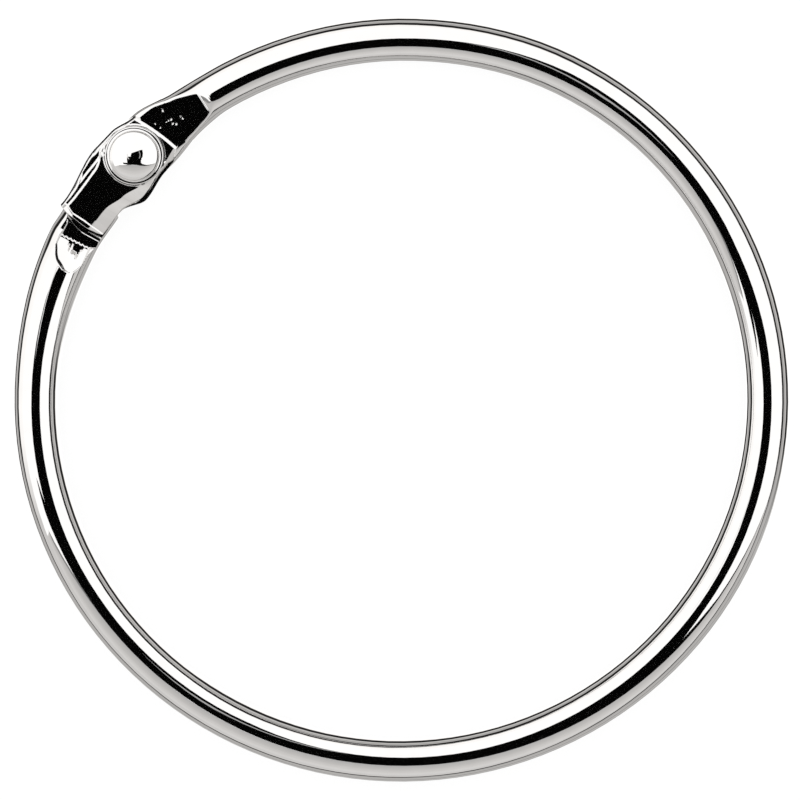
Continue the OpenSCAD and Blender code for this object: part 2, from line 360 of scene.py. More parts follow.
@dataclass(frozen=True)
class Scoop:
    """Pressed hollow for the thumb, with a ragged start and walls round its blunt end.

    Distances d run from the rivet along the tongue, and y points outwards across the wire.

    Attributes:
        middle: Place of the hollow's middle, as y.
        half_width: Half its width.
        end: Distance of its blunt end.
        corner: Radius of the corners there.
        skew: How far the end leans back towards the rivet, for each millimetre outwards.
        wall: Slope of its walls.
        crest: Slope of the band inside the foot of the far outer wall.
        crest_width: Width of that band.
        crest_least: Width that is left of it elsewhere.
        crest_across: Where it widens across the wire.
        crest_along: Where it widens along the wire.
        step: Distance of the small step at its start.
        step_rise: Height of that step.
        step_run: Length over which it rises.
        ragged: Depth, and radians for each millimetre, of the waves along the step's edge.
        floor_start: Distance from which the floor rises.
        floor_slope: Slope of the floor.
        pocket_slope: Slope with which a pocket rises to the floor.
        pockets: Stations (y, d) of where the ragged start lets the floor rise.
        wider_outer: Extra half width before the hollow on the outer side, and from where to where
            it fades.
        wider_inner: The same on the inner side.
        marks: For each raised scratch before the hollow, its distance, how far it bends back
            towards the rivet on the outer side, and the power of that bend.
        mark_height: Height of a scratch.
        mark_rise: Length over which it rises.
        mark_fall: Length over which it falls.
        mark_from: Place from which it bends, as y.
        mark_span: Width over which it bends by its full measure.
    """

    middle: float = -0.12
    half_width: float = 1.13
    end: float = 10.0
    corner: float = 0.8
    skew: float = 0.16
    wall: float = 1.9
    crest: float = 0.64
    crest_width: float = 0.42
    crest_least: float = 0.02
    crest_across: tuple[float, float] = (-0.5, 0.4)
    crest_along: tuple[float, float] = (8.3, 9.4)
    step: float = 7.84
    step_rise: float = 0.04
    step_run: float = 0.1
    ragged: Pairs = ((0.04, 19.0), (0.03, 47.0))
    floor_start: float = 8.02
    floor_slope: float = 0.33
    pocket_slope: float = 0.8
    pockets: Stations = (
        (-1.2, 8.0), (-0.98, 8.02), (-0.9, 8.22), (-0.8, 8.26), (-0.72, 8.7), (-0.64, 8.68),
        (-0.58, 8.56), (-0.2, 8.52), (-0.12, 8.12), (-0.05, 8.1), (0.0, 8.48), (0.07, 8.44),
        (0.12, 8.22), (0.24, 8.24), (0.3, 8.07), (0.62, 8.03), (0.75, 7.9))
    wider_outer: tuple[float, float, float] = (0.3, 6.3, 7.0)
    wider_inner: tuple[float, float, float] = (0.7, 7.4, 7.9)
    marks: tuple[tuple[float, float, float], ...] = ((7.1, 0.5, 1.7), (6.8, 0.22, 1.5))
    mark_height: float = 0.034
    mark_rise: float = 0.09
    mark_fall: float = 0.26
    mark_from: float = -0.5
    mark_span: float = 1.6

    def height(self, d: Array, y: Array, flat: float) -> Array:
        """Return the hollow's height: a step, a ragged start, a sloping floor and leaning walls.

        Pockets in the start stay level for longer and then rise more steeply to the same floor.

        Args:
            d: Distance from the rivet.
            y: Place across the wire.
            flat: Height of the pressed flat before the hollow.

        Returns:
            The heights at d and y.
        """
        ragged = sum(depth * np.sin(waves * y) for depth, waves in self.ragged)
        level = flat + self.step_rise * np.clip((d - self.step - ragged) / self.step_run, 0.0, 1.0)
        past = np.maximum(0.0, d - self.floor_start)
        pocket = self.pocket_slope * np.maximum(0.0, d - along(y, self.pockets))
        floor = level + np.minimum(self.floor_slope * past, pocket)
        return floor + self.scratches(d, y) + self.walls(d, y)

    def walls(self, d: Array, y: Array) -> Array:
        """Return how far the walls rise over the floor.

        They rise with the distance from a rectangle with rounded, slightly skewed corners, and
        more gently in a band inside it.

        Args:
            d: Distance from the rivet.
            y: Place across the wire.

        Returns:
            The rise at d and y, 0 on the floor.
        """
        (extra_out, *outer), (extra_in, *inner) = self.wider_outer, self.wider_inner
        wider = np.where(y > self.middle, extra_out * (1.0 - ramp(d, *outer)),
                         extra_in * (1.0 - ramp(d, *inner)))
        past_side = np.abs(y - self.middle) - self.half_width - wider + self.corner
        past_end = d + self.skew * (y - self.middle) - self.end + self.corner
        outside = np.hypot(np.maximum(past_side, 0.0), np.maximum(past_end, 0.0))
        beyond = outside + np.minimum(np.maximum(past_side, past_end), 0.0) - self.corner
        crest = self.crest_width * ramp(y, *self.crest_across) * ramp(d, *self.crest_along)
        crest = crest + self.crest_least
        rise = np.maximum(self.wall * beyond, self.crest * (beyond + crest) * (beyond > -crest))
        return np.maximum(0.0, rise)

    def scratches(self, d: Array, y: Array) -> Array:
        """Return the height of the raised scratches, each a ridge with two straight sides.

        Args:
            d: Distance from the rivet.
            y: Place across the wire.

        Returns:
            The rise at d and y, 0 beside a scratch.
        """
        rise = 0.0 * d
        for place, bend, power in self.marks:
            near = d - place + bend * np.maximum(0.0, (y - self.mark_from) / self.mark_span) ** power
            ridge = np.minimum(1.0 + near / self.mark_rise, 1.0 - near / self.mark_fall)
            rise = rise + self.mark_height * np.clip(ridge, 0.0, 1.0)
        return rise


@dataclass
class RingWire:
    """Round wire with its two forged ends: the eye with its neck, and the tongue.

    Stations give a value at distances from the rivet. A power is the e of a cross-section, as
    section() says, and an edge is its p.

    Attributes:
        clasp: Place of the rivet.
        eye_r: Radius of the eye.
        eye_shift: How much narrower the eye is on the outer side.
        eye_back: Height of its back.
        eye_top: Height of its front before it is pressed.
        eye_power: Power of its section.
        eye_edge: Edge of its section.
        press_top: Height of the pressed fronts.
        neck_outer: Half width of the neck on the outer side.
        neck_inner: Half width of the neck on the inner side.
        narrow_outer: From where to where the outer side narrows to the wire.
        narrow_inner: From where to where the inner side does.
        neck_tops: Stations of the neck's front before it is pressed.
        neck_round: Distance at which that front is as high as the wire.
        outer_powers: Stations of the neck's power on the outer side.
        inner_powers: Stations of the neck's power on the inner side.
        neck_edges: Stations of the neck's edge.
        flat_end: Distance at which the neck's front starts to rise.
        ramp_slope: Slope of that rise.
        tip_start: Distance from which it is steeper.
        tip_slope: Slope that is added there.
        tongue_tip: Distance of the tongue's tip.
        tongue_nose: Length of its round tip.
        tongue_outer: Stations of the tongue's half width on the outer side, before the round wire.
        tongue_inner: Stations of the same on the inner side.
        press_end: Distance at which the tongue is round wire again.
        tongue_powers: Stations of the tongue's power on the outer side.
        tongue_edge: Edge of the tongue's section.
        tongue_blend: Rounding between the hollow and the rest of the tongue.
        front_over: How much higher than press_top the front cuts the tongue, so that the hollow
            shapes its middle alone.
        hollow_over: How much higher than press_top the flat before the hollow is.
        flat_foot: Distance at which the front starts to rise.
        foot_slope: Slope of that rise.
        pressed_over: Height over the wire's middle from which the hollow shapes the tongue.
        scoop: The thumb's hollow.
        lean: Stations of how far the wire leans outwards from the exact circle.
        lean_from: Distance up to which the eye and the neck don't lean.
        scuffs: Dents in the neck's front.
        scuffed_below: How far under press_top a point is still part of that front.
        front_steps: Points of a section in front.
        back_steps: Points of a section behind.
        nose_rows: Sections of the tongue's tip.
        tongue_rows: Ends of the tongue's stretches and the step in each.
        neck_rows: Starts of the neck's stretches and the step in each.
        coarse: Step along the round wire.
        eye_turn: Share of the eye's radius from which its sections close up.
        eye_rows: Sections from there to the eye's far side.
    """

    clasp: Clasp
    eye_r: float = 2.55
    eye_shift: float = 0.2
    eye_back: float = 0.55
    eye_top: float = 2.4
    eye_power: float = 5.0
    eye_edge: float = 24.0
    press_top: float = 2.25
    neck_outer: float = 2.08
    neck_inner: float = 2.55
    narrow_outer: tuple[float, float] = (1.8, 4.7)
    narrow_inner: tuple[float, float] = (1.2, 7.6)
    neck_tops: Stations = ((2.0, 2.5), (5.0, 3.1))
    neck_round: float = 6.0
    outer_powers: Stations = ((2.4, 3.2), (4.4, 2.15), (6.2, 1.68), (7.5, 2.0))
    inner_powers: Stations = ((3.4, 2.2), (5.2, 2.2), (6.8, 1.9), (7.5, 2.0))
    neck_edges: Stations = ((2.0, 22.0), (6.0, 42.0))
    flat_end: float = 3.4
    ramp_slope: float = 0.21
    tip_start: float = 6.35
    tip_slope: float = 0.32
    tongue_tip: float = 3.9
    tongue_nose: float = 0.8
    tongue_outer: Stations = ((6.4, 1.75), (7.9, 1.87))
    tongue_inner: Stations = ((4.7, 2.05), (7.9, 1.87))
    press_end: float = 19.0
    tongue_powers: Stations = ((5.5, 2.0), (6.4, 1.45), (8.0, 1.45), (10.5, 2.0))
    tongue_edge: float = 44.0
    tongue_blend: float = 0.02
    front_over: float = 0.11
    hollow_over: float = 0.04
    flat_foot: float = 7.5
    foot_slope: float = 0.42
    pressed_over: float = 0.2
    scoop: Scoop = field(default_factory=Scoop)
    lean: Stations = ((3.4, 0.0), (6.6, -0.19), (10.0, -0.17), (22.0, -0.08), (34.0, 0.08), (40.0, 0.08),
                      (60.0, 0.0))
    lean_from: float = 4.0
    scuffs: tuple[Scuff, ...] = (
        (2.62, 0.10, 0.06, 0.06), (2.5, 0.55, 0.05, 0.09), (3.25, 0.15, 0.06, 0.05),
        (3.41, 0.12, 0.05, 0.05), (3.6, 0.07, 0.06, 0.06), (3.5, -0.24, 0.06, 0.06),
        (3.68, -0.42, 0.06, 0.06), (4.28, -0.14, 0.04, 0.08), (4.33, -0.3, 0.03, 0.1),
        (3.52, 1.0, 0.05, 0.12))
    scuffed_below: float = 0.1
    front_steps: int = 150
    back_steps: int = 28
    nose_rows: int = 16
    tongue_rows: Pairs = ((6.4, 0.2), (8.9, 0.025), (10.4, 0.05), (13.2, 0.11))
    neck_rows: Pairs = ((9.0, 0.075), (4.7, 0.04), (2.4, 0.1))
    coarse: float = 1.25
    eye_turn: float = 0.8
    eye_rows: int = 14

    def turns(self) -> Array:
        """Return the angles of the points of a cross-section, closer together in front.

        Returns:
            The angles in radians from the outer side over the front, as one row.
        """
        front = np.linspace(0.0, np.pi, self.front_steps, endpoint=False)
        back = np.linspace(np.pi, 2.0 * np.pi, self.back_steps, endpoint=False)
        return np.concatenate([front, back])[None, :]

    def section(self, outer: Array, inner: Array, middle: Array | float, low: Array | float,
                high: Array | float, front: Array | float, power: Array | float,
                edge: Array | float) -> Array:
        """Return the radii of cross-sections about their middle.

        A section is a rounded box, |y/a|^e + |z/b|^e = 1, cut by the plane of the pressed front.
        The two are joined as radii: r^-p = box^-p + plane^-p, where p sets how crisp the edge is.

        Args:
            outer: Half widths on the ring's outer side, one column.
            inner: Half widths on the inner side.
            middle: Heights of the middle.
            low: Heights of the back.
            high: Heights of the front, before it is pressed.
            front: Heights of the pressed front.
            power: Power e, 2 for an ellipse.
            edge: Power p.

        Returns:
            The radii, a row for each section and a column for each angle.
        """
        c, s = np.cos(self.turns()), np.sin(self.turns())
        half = np.where(c > 0.0, outer, inner)
        tall = np.where(s > 0.0, high - middle, middle - low)
        box = (np.abs(c / half) ** power + np.abs(s / tall) ** power) ** (-1.0 / power)
        plane = (front - middle) / np.maximum(s, TINY)
        plane = np.where(s > 0.0, plane, FAR)
        return (box ** -edge + plane ** -edge) ** (-1.0 / edge)

    def tongue(self, d: Array) -> tuple[Array, Array]:
        """Return cross-sections of the tongue and of the round wire after it.

        A section is cut by the pressed front. Where it lies more than pressed_over above the wire's
        middle, its height is the lower of its own and the hollow's, with the meeting rounded.

        Args:
            d: Distances from the rivet.

        Returns:
            Places y and heights z, a row for each distance.
        """
        d = d[:, None]
        turn, r = self.turns(), self.clasp.wire_r
        t = np.clip(1.0 - (d - self.tongue_tip) / self.tongue_nose, 0.0, 1.0)
        nose = np.sqrt(np.maximum(TINY, 1.0 - t * t))
        outer = along(d, (*self.tongue_outer, (self.press_end, r)))
        inner = along(d, (*self.tongue_inner, (self.press_end, r)))
        power = np.where(np.cos(turn) > 0.0, along(d, self.tongue_powers), 2.0)
        front = self.press_top + self.front_over + self.foot_slope * np.maximum(0.0, d - self.flat_foot)
        radius = self.section(outer * nose, inner * nose, r, 0.0, 2.0 * r, front, power, self.tongue_edge)
        y, z = radius * np.cos(turn), r + radius * np.sin(turn)
        hollow = self.scoop.height(d, y, self.press_top + self.hollow_over)
        pressed = smooth_min(z, np.where(z > r, hollow, FAR), self.tongue_blend)
        return y, np.where(z > r + self.pressed_over, pressed, z)

    def neck(self, s: Array) -> tuple[Array, Array]:
        """Return cross-sections of the neck and the eye.

        The neck narrows smoothly to the round wire and closes like an ellipse at the far side. The
        eye is a flat disc, and each section is the wider of the two.

        Args:
            s: Places along the centre line, negative at the eye's far side.

        Returns:
            Places y and heights z, a row for each place along the line.
        """
        s = s[:, None]
        turn, r = self.turns(), self.clasp.wire_r
        far = np.clip(-s / self.eye_r, 0.0, 1.0)
        round_end = np.sqrt(np.maximum(TINY, 1.0 - far * far))
        outer = self.neck_outer + (r - self.neck_outer) * ramp(s, *self.narrow_outer)
        inner = self.neck_inner + (r - self.neck_inner) * ramp(s, *self.narrow_inner)
        low = self.eye_back * (1.0 - ramp(s, *self.narrow_outer))
        high = along(s, (*self.neck_tops, (self.neck_round, 2.0 * r)))
        front = self.press_top + self.ramp_slope * np.maximum(0.0, s - self.flat_end)
        front = front + self.tip_slope * np.maximum(0.0, s - self.tip_start)
        middle = 0.5 * (low + high)
        power = np.where(np.cos(turn) > 0.0, along(s, self.outer_powers), along(s, self.inner_powers))
        power = np.where(turn < np.pi, power, 2.0)
        neck = self.section(outer * round_end, inner * round_end, middle, low, high, front, power,
                            along(s, self.neck_edges))
        near = np.sqrt(np.clip(1.0 - (s / self.eye_r) ** 2 * (s > 0), TINY, 1.0))
        half = self.eye_r * round_end * near
        disc = self.section(half - self.eye_shift * round_end, half, middle, self.eye_back, self.eye_top,
                            self.press_top, self.eye_power, self.eye_edge)
        radius = np.maximum(neck, disc * (s < self.eye_r))
        y, z = radius * np.cos(turn), middle + radius * np.sin(turn)
        return y, z - scuffed(s, y, self.scuffs) * (z > self.press_top - self.scuffed_below)

    def build(self, finish: bpy.types.Material) -> bpy.types.Object:
        """Make the wire as one grid, from the tongue's tip round the ring to the eye's far side.

        Args:
            finish: Material of its surface.

        Returns:
            The new object.
        """
        around = self.clasp.around
        nose = np.linspace(0.0, 1.0, self.nose_rows, endpoint=False) ** 2
        tongue_ends, tongue_steps = zip(*self.tongue_rows)
        neck_starts, neck_steps = zip(*self.neck_rows)
        far = np.concatenate([
            self.tongue_tip + self.tongue_nose * nose,
            stretches((self.tongue_tip + self.tongue_nose, *tongue_ends), tongue_steps),
            spaced(tongue_ends[-1], around - neck_starts[0], self.coarse)])
        closing = np.linspace(math.asin(self.eye_turn), 0.5 * np.pi, self.eye_rows)
        near = np.concatenate([
            stretches((*neck_starts, -self.eye_turn * self.eye_r), neck_steps),
            -self.eye_r * np.sin(closing)])
        (far_y, far_z), (near_y, near_z) = self.tongue(far), self.neck(near)
        s = np.concatenate([-far, near - around])[:, None]
        lean = np.where(s > self.lean_from - around, along(np.mod(s, around), self.lean), 0.0)
        grid = self.clasp.on_ring(s, np.vstack([far_y, near_y]) + lean, np.vstack([far_z, near_z]))
        shell = Shell()
        shell.add_tube(grid[:, ::-1])
        LOG.info("ring wire: %d sections", len(s))
        return shell.build("ring_wire_skin", Slot.WIRE, Body.RING, finish)


# ---------------------------------------------------------------------------------------------
# Gate
# ---------------------------------------------------------------------------------------------


@dataclass
class Gate:
    """Short gate with a flat face, two shoulders, a thin rim and a lip at its free end.

    All places are in the rivet's frame: x along the ring towards the neck, y outwards. Stations
    give a half width at places x. Lines (x, y) and (y, x) are joined by straight lines.

    Attributes:
        clasp: Place of the rivet.
        reach: Distance from the rivet to the free end.
        heel: Distance from the rivet to the middle of the heel.
        base: Height of the underside.
        top: Height of the face.
        rim_top: Height of the thin rim.
        overhang: How far the free end stands out past the wire's outer side.
        outer_side: Stations of the outer wall, between the free end and the heel.
        inner_side: Stations of the inner wall between them.
        inner_face: Stations of the face's inner edge between them.
        end_face: Half width of the face's inner side at the free end.
        heel_halves: Half widths at the heel of the outer wall, the inner wall and the face's inner
            side.
        inner_rim: Stations of the width of the inner rim.
        outer_rim: Width of the outer rim.
        inner_slope: Slope of the inner shoulder.
        rim_step: Least height of the inner shoulder's foot over the rim.
        rim_groove: Depth of the groove at that foot.
        rim_groove_width: Width over which the groove runs out.
        first_step: Line (x, y) of the outer shoulder's highest step.
        middle_step: Line of the step between them, which is there over a part of the length.
        last_step: Line of the lowest step.
        step_width: Width over which a step goes down.
        step_drop: Height of the first and the last step.
        middle_drop: Height of the middle step.
        middle_start: From where to where the middle step grows.
        middle_stop: From where to where it fades.
        middle_slant: How its start leans with y, about the place middle_at.
        middle_at: Place across the gate where the start doesn't lean.
        outline_width: Width of the bevel along the outer wall.
        outline_drop: Drop of that bevel.
        heel_slant: Slant of the heel's edge.
        heel_curve: Radius of its slight bulge.
        heel_bevel: Width of the bevel along the heel.
        heel_drop: Drop of that bevel.
        end_round: Radius of the free end's edge.
        end_slope: Slope from the bead down to the free end.
        corner_slope: Slope that is added to it at the outer corner.
        corner_tilt: From where to where across the gate that slope grows.
        end_corner: How much fuller the free end is at its outer corner.
        end_full: From where to where across the gate it grows fuller.
        bead: Line (y, x) of the bead along the free end.
        bead_width: Width over which the bead rises.
        bead_height: Height of that rise.
        dip: Depth by which the face sinks towards the bead.
        dip_run: Length over which it does.
        scuffs: Dents in the face.
        seat_r: Radius of the raised seat under the rivet's flange.
        seat_rise: Height of the seat.
        seat_edge: Width of its sloping edge.
        seat_depth: How far under the face a point is still part of the seat.
        lip_drop: How far the lip reaches down from the underside.
        lip_length: Length of the lip.
        lip_gap: Gap between the lip and the tongue.
        lip_end: Half width of the lip's outer side at the free end.
        lip_side: Stations of that side after it.
        lip_inset: How far the lip's end stays back from the plate's. Its outer side stays back
            half as far.
        lip_root: How far the lip reaches up into the plate.
        tongue_half: Half width of the tongue beside the lip.
        rows: Rows along the middle of the gate.
        end_rows: Rows along the free end, and the share of the length that they take.
        heel_rows: Rows along the heel, and the share of the length that they take.
        heel_crowd: Power with which these come closer together towards the heel's edge.
        cols: Columns of the outer wall, outer shoulder, face, inner shoulder and inner rim.
        lip_rows: Rows of the lip.
        lip_cols: Columns of the lip.
    """

    clasp: Clasp
    reach: float = 6.4
    heel: float = 2.42
    base: float = 2.30
    top: float = 3.45
    rim_top: float = 2.80
    overhang: float = 0.55
    outer_side: Stations = ((-1.5, 2.38), (0.4, 2.38))
    inner_side: Stations = ((-4.0, 2.15), (-2.3, 2.9), (0.4, 2.5), (1.2, 2.44))
    inner_face: Stations = ((-4.4, 1.13), (-3.0, 1.42), (-1.0, 1.95), (0.4, 2.05))
    end_face: float = 1.27
    heel_halves: tuple[float, float, float] = (1.95, 1.9, 1.72)
    inner_rim: Stations = ((-4.3, 0.06), (-2.6, 0.35), (1.0, 0.33), (1.8, 0.06))
    outer_rim: float = 0.06
    inner_slope: float = 0.58
    rim_step: float = 0.02
    rim_groove: float = 0.06
    rim_groove_width: float = 0.1
    first_step: Stations = (
        (-6.05, 0.98), (-5.25, 1.01), (-4.2, 1.12), (-3.15, 1.25), (-2.53, 1.34), (-2.11, 1.47),
        (-1.81, 1.64), (-1.4, 1.97), (-1.0, 2.08), (0.4, 2.12), (2.35, 1.8))
    middle_step: Stations = (
        (-3.99, 1.52), (-3.19, 1.61), (-2.13, 1.68), (-1.6, 1.76), (-1.28, 1.9), (-1.0, 2.2))
    last_step: Stations = (
        (-6.07, 1.29), (-5.31, 1.33), (-4.67, 1.42), (-4.26, 1.55), (-3.86, 1.79), (-3.45, 1.95),
        (-2.17, 2.19), (-1.73, 2.14), (-1.08, 2.21), (0.0, 2.23), (1.08, 2.16), (2.35, 1.86))
    step_width: float = 0.15
    step_drop: float = 0.095
    middle_drop: float = 0.08
    middle_start: tuple[float, float] = (-4.1, -3.7)
    middle_stop: tuple[float, float] = (-1.5, -1.2)
    middle_slant: float = 1.4
    middle_at: float = 1.65
    outline_width: float = 0.11
    outline_drop: float = 0.3
    heel_slant: float = 9.3
    heel_curve: float = 16.0
    heel_bevel: float = 0.2
    heel_drop: float = 0.085
    end_round: float = 0.05
    end_slope: float = 0.07
    corner_slope: float = 0.3
    corner_tilt: tuple[float, float] = (0.15, 0.45)
    end_corner: float = 0.15
    end_full: tuple[float, float] = (-0.2, 0.8)
    bead: Stations = ((-2.2, -5.95), (-1.69, -5.97), (-0.69, -6.07), (0.3, -6.25), (0.6, -6.2),
                      (0.95, -6.1), (1.4, -6.13))
    bead_width: float = 0.12
    bead_height: float = 0.045
    dip: float = 0.03
    dip_run: float = 0.45
    scuffs: tuple[Scuff, ...] = ((-5.86, 0.02, 0.05, 0.2), (-3.55, 0.12, 0.06, 0.1), (-3.0, 0.55, 0.05, 0.05))
    seat_r: float = 2.25
    seat_rise: float = 0.03
    seat_edge: float = 0.07
    seat_depth: float = 0.05
    lip_drop: float = 1.0
    lip_length: float = 1.1
    lip_gap: float = 0.06
    lip_end: float = 1.38
    lip_side: Stations = ((-1.5, 2.33),)
    lip_inset: float = 0.02
    lip_root: float = 0.2
    tongue_half: float = 1.65
    rows: int = 190
    end_rows: tuple[int, float] = (46, 0.09)
    heel_rows: tuple[int, float] = (26, 0.07)
    heel_crowd: float = 1.5
    cols: tuple[int, int, int, int, int] = (6, 64, 34, 22, 12)
    lip_rows: int = 12
    lip_cols: int = 9

    def edges(self, x: Array) -> list[Array]:
        """Return the lines along the gate from its outer to its inner side, as y at x.

        Args:
            x: Places along the gate, one column.

        Returns:
            The outer wall, the outer shoulder's foot, the face's two edges, the inner shoulder's
            foot and the inner wall.
        """
        r, end, heel = self.clasp.wire_r, -self.reach, self.heel
        drop = self.reach ** 2 / (2.0 * self.clasp.ring_r)
        heel_out, heel_in, heel_face = self.heel_halves
        wall_out = along(x, ((end, r + self.overhang - drop), *self.outer_side, (heel, heel_out)))
        wall_in = -along(x, ((end, r + drop), *self.inner_side, (heel, heel_in)))
        face_out = straight(x, self.first_step) - self.step_width
        face_in = -along(x, ((end, self.end_face), *self.inner_face, (heel, heel_face)))
        return [wall_out, wall_out - self.outer_rim, face_out, face_in,
                wall_in + along(x, self.inner_rim), wall_in]

    def across(self, x: Array) -> tuple[Array, Array]:
        """Return places y and heights z of the upper side, from the outer wall to the inner one.

        The outer shoulder goes down in steps between level ledges, and the inner one slopes evenly
        down to a groove.

        Args:
            x: Places along the gate.

        Returns:
            Places and heights, a row for each place along the gate.
        """
        x = x[:, None]
        wall_out, foot_out, face_out, face_in, foot_in, wall_in = self.edges(x)
        foot = np.maximum(self.rim_top + self.rim_step,
                          self.top - self.inner_slope * (face_in - foot_in))
        wall, shoulder, face, slope, rim = (np.linspace(0.0, 1.0, count)[None, :] for count in self.cols)
        slope, face, rim_out = slope[:, 1:], face[:, 1:-1], rim[:, 1:]
        up = np.clip(1.0 - (foot_in - wall_in) * rim_out / self.rim_groove_width, 0.0, 1.0)
        parts_y = [wall_out + (foot_out - wall_out) * wall,
                   (face_out + (foot_out - face_out) * shoulder)[:, ::-1],
                   face_out + (face_in - face_out) * face,
                   face_in + (foot_in - face_in) * slope,
                   foot_in + (wall_in - foot_in) * rim_out]
        parts_z = [self.stepped(x, parts_y[0], wall_out),
                   self.stepped(x, parts_y[1], wall_out),
                   self.top + 0.0 * parts_y[2],
                   self.top - (self.top - foot) * slope,
                   self.rim_top - self.rim_groove * up]
        return np.hstack(parts_y), np.hstack(parts_z)

    def stepped(self, x: Array, y: Array, wall: Array) -> Array:
        """Return the heights of the outer shoulder, the top less the drop of each step passed.

        Args:
            x: Places along the gate, one column.
            y: Places across the gate.
            wall: Places of the outer wall at x.

        Returns:
            The heights at x and y.
        """
        between = ramp(x - self.middle_slant * (y - self.middle_at), *self.middle_start)
        between = between * (1.0 - ramp(x, *self.middle_stop))
        steps = [(self.first_step, self.step_drop), (self.middle_step, self.middle_drop * between),
                 (self.last_step, self.step_drop)]
        z = self.top + 0.0 * y
        for line, fall in steps:
            z = z - fall * np.clip(0.5 + (y - straight(x, line)) / self.step_width, 0.0, 1.0)
        return z - self.outline_drop * np.clip(1.0 + (y - wall) / self.outline_width, 0.0, 1.0)

    def heel_line(self, y: Array) -> Array:
        """Return the line of the heel's edge, an arc of heel_curve whose middle lies on a slant.

        Args:
            y: Places across the gate.

        Returns:
            The line's places x at y.
        """
        a = math.radians(self.heel_slant)
        away = self.heel * math.cos(a) - self.heel_curve
        return away * math.cos(a) + np.sqrt(self.heel_curve ** 2 - (y - away * math.sin(a)) ** 2)

    def start_line(self, y: Array) -> Array:
        """Return x of the free end at y, an arc about the rivet with a fuller outer corner."""
        return -np.sqrt(self.reach ** 2 - y ** 2) - self.end_corner * ramp(y, *self.end_full)

    def finished(self, x: Array, y: Array, z: Array) -> Array:
        """Return the upper side's heights with its bead, bevel, dents, rounded end and raised seat.

        The face dips a little towards the bead, rises steeply over the bead's width, and falls
        gently from there to the end, more so at the outer corner.

        Args:
            x: Places along the gate.
            y: Places across it.
            z: Heights before.

        Returns:
            The new heights.
        """
        past = straight(y, self.bead) + self.bead_width - x
        z = z - self.dip * np.clip(1.0 + past / self.dip_run, 0.0, 1.0)
        z = z + self.bead_height * np.clip(past / self.bead_width, 0.0, 1.0)
        tilt = self.end_slope + self.corner_slope * ramp(y, *self.corner_tilt)
        z = z - tilt * np.maximum(0.0, past - self.bead_width)
        into = np.clip(1.0 - (x - self.start_line(y)) / self.end_round, 0.0, 1.0)
        z = z - self.end_round * (1.0 - np.sqrt(np.maximum(0.0, 1.0 - into * into)))
        z = z - scuffed(x, y, self.scuffs)
        z = z - self.heel_drop * np.clip(1.0 - (self.heel_line(y) - x) / self.heel_bevel, 0.0, 1.0)
        seat = self.seat_rise * np.clip((self.seat_r - np.hypot(x, y)) / self.seat_edge + 0.5, 0.0, 1.0)
        return np.where(z > self.top - self.seat_depth, z + seat, z)

    def plate(self) -> Array:
        """Return the plate, each row a loop over the upper side and back under it.

        The rows run from the free end's line to the heel's, closer together near both.

        Returns:
            The grid of points, shaped (rows, columns, 3).
        """
        (end_rows, end_share), (heel_rows, heel_share) = self.end_rows, self.heel_rows
        share = np.concatenate([
            np.linspace(0.0, end_share, end_rows, endpoint=False),
            np.linspace(end_share, 1.0 - heel_share, self.rows, endpoint=False),
            1.0 - heel_share * np.linspace(1.0, 0.0, heel_rows) ** self.heel_crowd])
        y, z = self.across(-self.reach + (self.reach + self.heel) * share)
        start, stop = self.start_line(y), self.heel_line(y)
        x = start + (stop - start) * share[:, None]
        z = self.finished(x, y, z)
        return self.clasp.beside(np.hstack([x, x[:, ::-1]]), np.hstack([y, y[:, ::-1]]),
                                 np.hstack([z, self.base + 0.0 * z]))

    def lip(self) -> Array:
        """Return the lip, a curved block that hangs from the free end outside the tongue.

        Its rows are arcs about the rivet. They start at the tongue's side plus the gap, on a
        parabola that is then kept outside the circle about the ring's centre, and they end just
        inside the plate's outer wall.

        Returns:
            The grid of points, shaped (rows, columns, 3).
        """
        ring_r, half = self.clasp.ring_r, self.tongue_half + self.lip_gap
        share = np.linspace(0.0, 1.0, self.lip_rows)[:, None]
        reach = self.reach - self.lip_inset - (self.lip_length - self.lip_inset) * share
        y_in = half - reach ** 2 / (2.0 * ring_r)
        y_out = along(-reach, ((-self.reach, self.lip_end), *self.lip_side)) - 0.5 * self.lip_inset
        y = y_in + (y_out - y_in) * np.linspace(0.0, 1.0, self.lip_cols)[None, :]
        x = -np.sqrt(np.maximum(0.0, reach ** 2 - y ** 2))
        y = np.maximum(y, np.sqrt(np.maximum(0.0, (ring_r + half) ** 2 - x ** 2)) - ring_r)
        low, high = self.base - self.lip_drop, self.base + self.lip_root
        return self.clasp.beside(np.hstack([x, x[:, ::-1]]), np.hstack([y, y[:, ::-1]]),
                                 np.hstack([low + 0.0 * x, high + 0.0 * x]))

    def build(self, finish: bpy.types.Material) -> bpy.types.Object:
        """Make the gate's plate and its lip as closed grids.

        Args:
            finish: Material of their surface.

        Returns:
            The new object.
        """
        shell = Shell(crisp=16.0)
        shell.add_tube(self.plate())
        shell.add_tube(self.lip())
        LOG.info("gate: %d points", shell.count)
        return shell.build("gate_skin", Slot.GATE, Body.GATE, finish)


# ---------------------------------------------------------------------------------------------
# Rivet
# ---------------------------------------------------------------------------------------------


